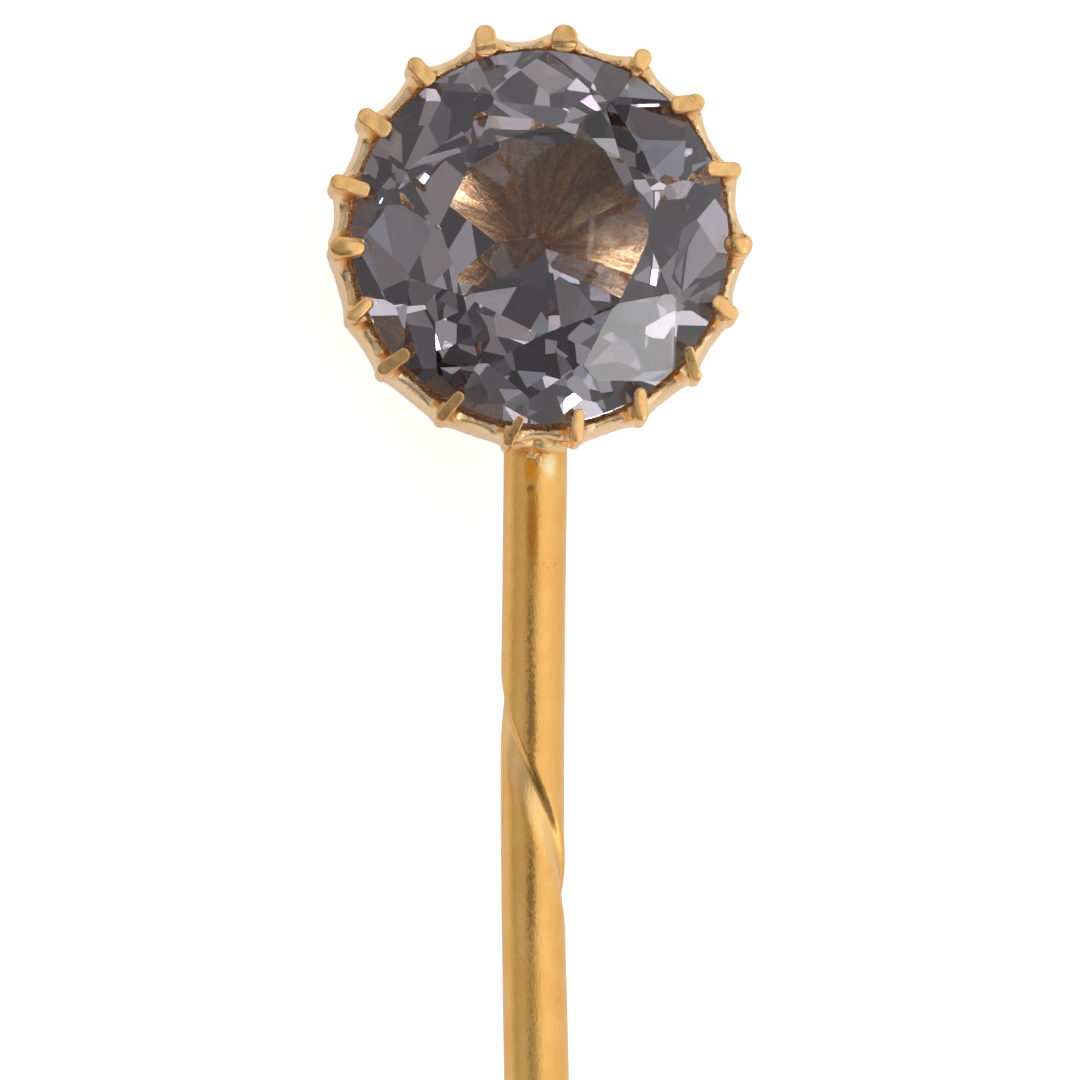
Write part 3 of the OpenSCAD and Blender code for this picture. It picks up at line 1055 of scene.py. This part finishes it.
# Cards and small lamps that the stone throws back from its facets, plain where no tint is given
tints = {None: (1, 1, 1), "cool": (0.84, 0.91, 1), "warm": (1, 0.93, 0.86)}
stoneCards = {
    "cardA": {"height": 0.30, "x": (-4, 5), "y": (5, 13), "bright": 0.2, "tint": "warm"},
    "cardB": {"height": 0.30, "x": (-4, 5), "y": (-12, -5), "bright": 0.72},
    "cardC": {"height": 0.32, "x": (-4, 5), "y": (-5, 5), "bright": 0.10, "tint": "cool"},
    "cardD": {"height": 0.31, "x": (5, 12), "y": (4, 13), "bright": 0.42},
    "cardE": {"height": 0.31, "x": (5, 12), "y": (-5, 4), "bright": 0.18},
    "cardF": {"height": 0.31, "x": (-20, -4), "y": (-28, -12), "bright": 0.24, "tint": "warm"},
    "cardG": {"height": 0.32, "x": (5, 20), "y": (-28, -12), "bright": 0.40},
    "cardH": {"height": 0.30, "x": (12, 21), "y": (-5, 13), "bright": 0.26, "tint": "warm"},
    "cardI": {"height": 0.31, "x": (21, 32), "y": (-12, 8), "bright": 0.5},
    "cardJ": {"height": 0.30, "x": (-7, 5), "y": (19, 29), "bright": 0.40, "tint": "warm"},
    "cardK": {"height": 0.31, "x": (-34, -20), "y": (-8, 30), "bright": 0.36, "tint": "cool"},
    "cardL": {"height": 0.30, "x": (8, 20), "y": (14, 22), "bright": 0.15, "tint": "warm"},
    "cardM": {"height": 0.30, "x": (-11, -4), "y": (4, 12), "bright": 0.28, "tint": "warm"},
    "leftCard": {"height": 0.24, "x": (-74, -42), "y": (-24, 56), "bright": 1.3},
    "rightCard": {"height": 0.24, "x": (40, 74), "y": (22, 60), "bright": 1.4},
    "midCard": {"height": 0.24, "x": (40, 74), "y": (-12, 22), "bright": 1.2},
    "lowCard": {"height": 0.24, "x": (40, 74), "y": (-48, -12), "bright": 1.2},
    "backCard": {"height": 0.24, "x": (-38, 38), "y": (44, 74), "bright": 0.8, "tint": "warm"},
    "lampA": {"height": 0.29, "x": (-2, 3), "y": (21, 26), "bright": 1.3, "tint": "cool"},
    "lampB": {"height": 0.29, "x": (-2, 3), "y": (14, 18), "bright": 1.2, "tint": "cool"},
    "lampC": {"height": 0.28, "x": (-16, -12), "y": (14, 18), "bright": 1.4, "tint": "cool"},
    "lampD": {"height": 0.28, "x": (46, 62), "y": (22, 42), "bright": 12.0},
    "lampE": {"height": 0.28, "x": (43, 66), "y": (-48, -36), "bright": 26.0},
    "lampF": {"height": 0.28, "x": (-64, -50), "y": (15, 26), "bright": 26.0},
}


# "bright" is how bright a lamp's face is, whatever its size
def makeLamp(name, size, place, bright, throughStone, tint=None):
    data = bpy.data.lights.new(name, "AREA")
    data.shape = "RECTANGLE"
    data.size, data.size_y = size
    data.energy = bright * math.pi * data.size * data.size_y
    data.color = tints[tint]
    light = addObject(name, data)
    light.matrix_world = place
    light.visible_camera = False
    light.visible_transmission = throughStone
    light.visible_glossy = not throughStone
    light.visible_diffuse = not throughStone


def hangLamp(name, lamp, throughStone):
    x0, x1 = [math.tan(math.radians(a)) * lamp["height"] for a in lamp["x"]]
    y0, y1 = [math.tan(math.radians(a)) * lamp["height"] for a in lamp["y"]]
    place = Matrix.Translation(((x0 + x1) / 2, (y0 + y1) / 2, lamp["height"]))
    makeLamp(name, (x1 - x0, y1 - y0), place, lamp["bright"], throughStone, lamp.get("tint"))


def standCard(name, card):
    around = Matrix.Rotation(math.radians(card["turn"]), 4, "Z")
    place = Matrix.Translation((card["distance"], 0, card["height"] / 2 + studio["cardGap"]))
    upright = Matrix.Rotation(math.pi / 2, 4, "Y")
    makeLamp(name, (card["height"], studio["cardWidth"]), around @ place @ upright, card["bright"], False)


view = {
    "back": (-0.061, -0.113, 0.99),  # from the pin to the camera
    "distance": 300.0,
    "frameWidth": 21.6,
    "headZ": 3.7,
    "headRight": 0.02,  # the head, from the picture's middle
    "headUp": 6.08,
    "sensor": 36.0,
    "clip": (0.01, 20),  # metres
}


def makeCamera():
    back = Vector(view["back"]).normalized()
    up = Vector((0, 1, 0)) - back * back.y
    up.normalize()
    right = up.cross(back)
    target = Vector((0, 0, view["headZ"])) - right * view["headRight"] - up * view["headUp"]
    data = bpy.data.cameras.new("camera")
    data.sensor_width = view["sensor"]
    data.lens = view["sensor"] * view["distance"] / view["frameWidth"]
    data.clip_start, data.clip_end = view["clip"]
    camera = addObject("camera", data)
    place = Matrix.Translation((target + back * view["distance"]) * mm)
    camera.matrix_world = place @ Matrix((right, up, back)).transposed().to_4x4()
    bpy.context.scene.camera = camera


makeFloor()
for name, lamp in softBoxes.items():
    hangLamp(name, lamp, False)
for name, card in sideCards.items():
    standCard(name, card)
for name, lamp in stoneCards.items():
    hangLamp(name, lamp, True)
makeCamera()

world = bpy.data.worlds.new("room")
bpy.context.scene.world = world
world.use_nodes = True
background = world.node_tree.nodes["Background"].inputs
feed(world.node_tree, background, {"Color": (1, 1, 1), "Strength": studio["room"]})

scene = bpy.context.scene
scene.view_settings.view_transform = "Standard"
scene.cycles.max_bounces = studio["bounces"]
scene.cycles.transmission_bounces = studio["bounces"]
scene.cycles.glossy_bounces = studio["glossyBounces"]
print("stick pin: studio lit")
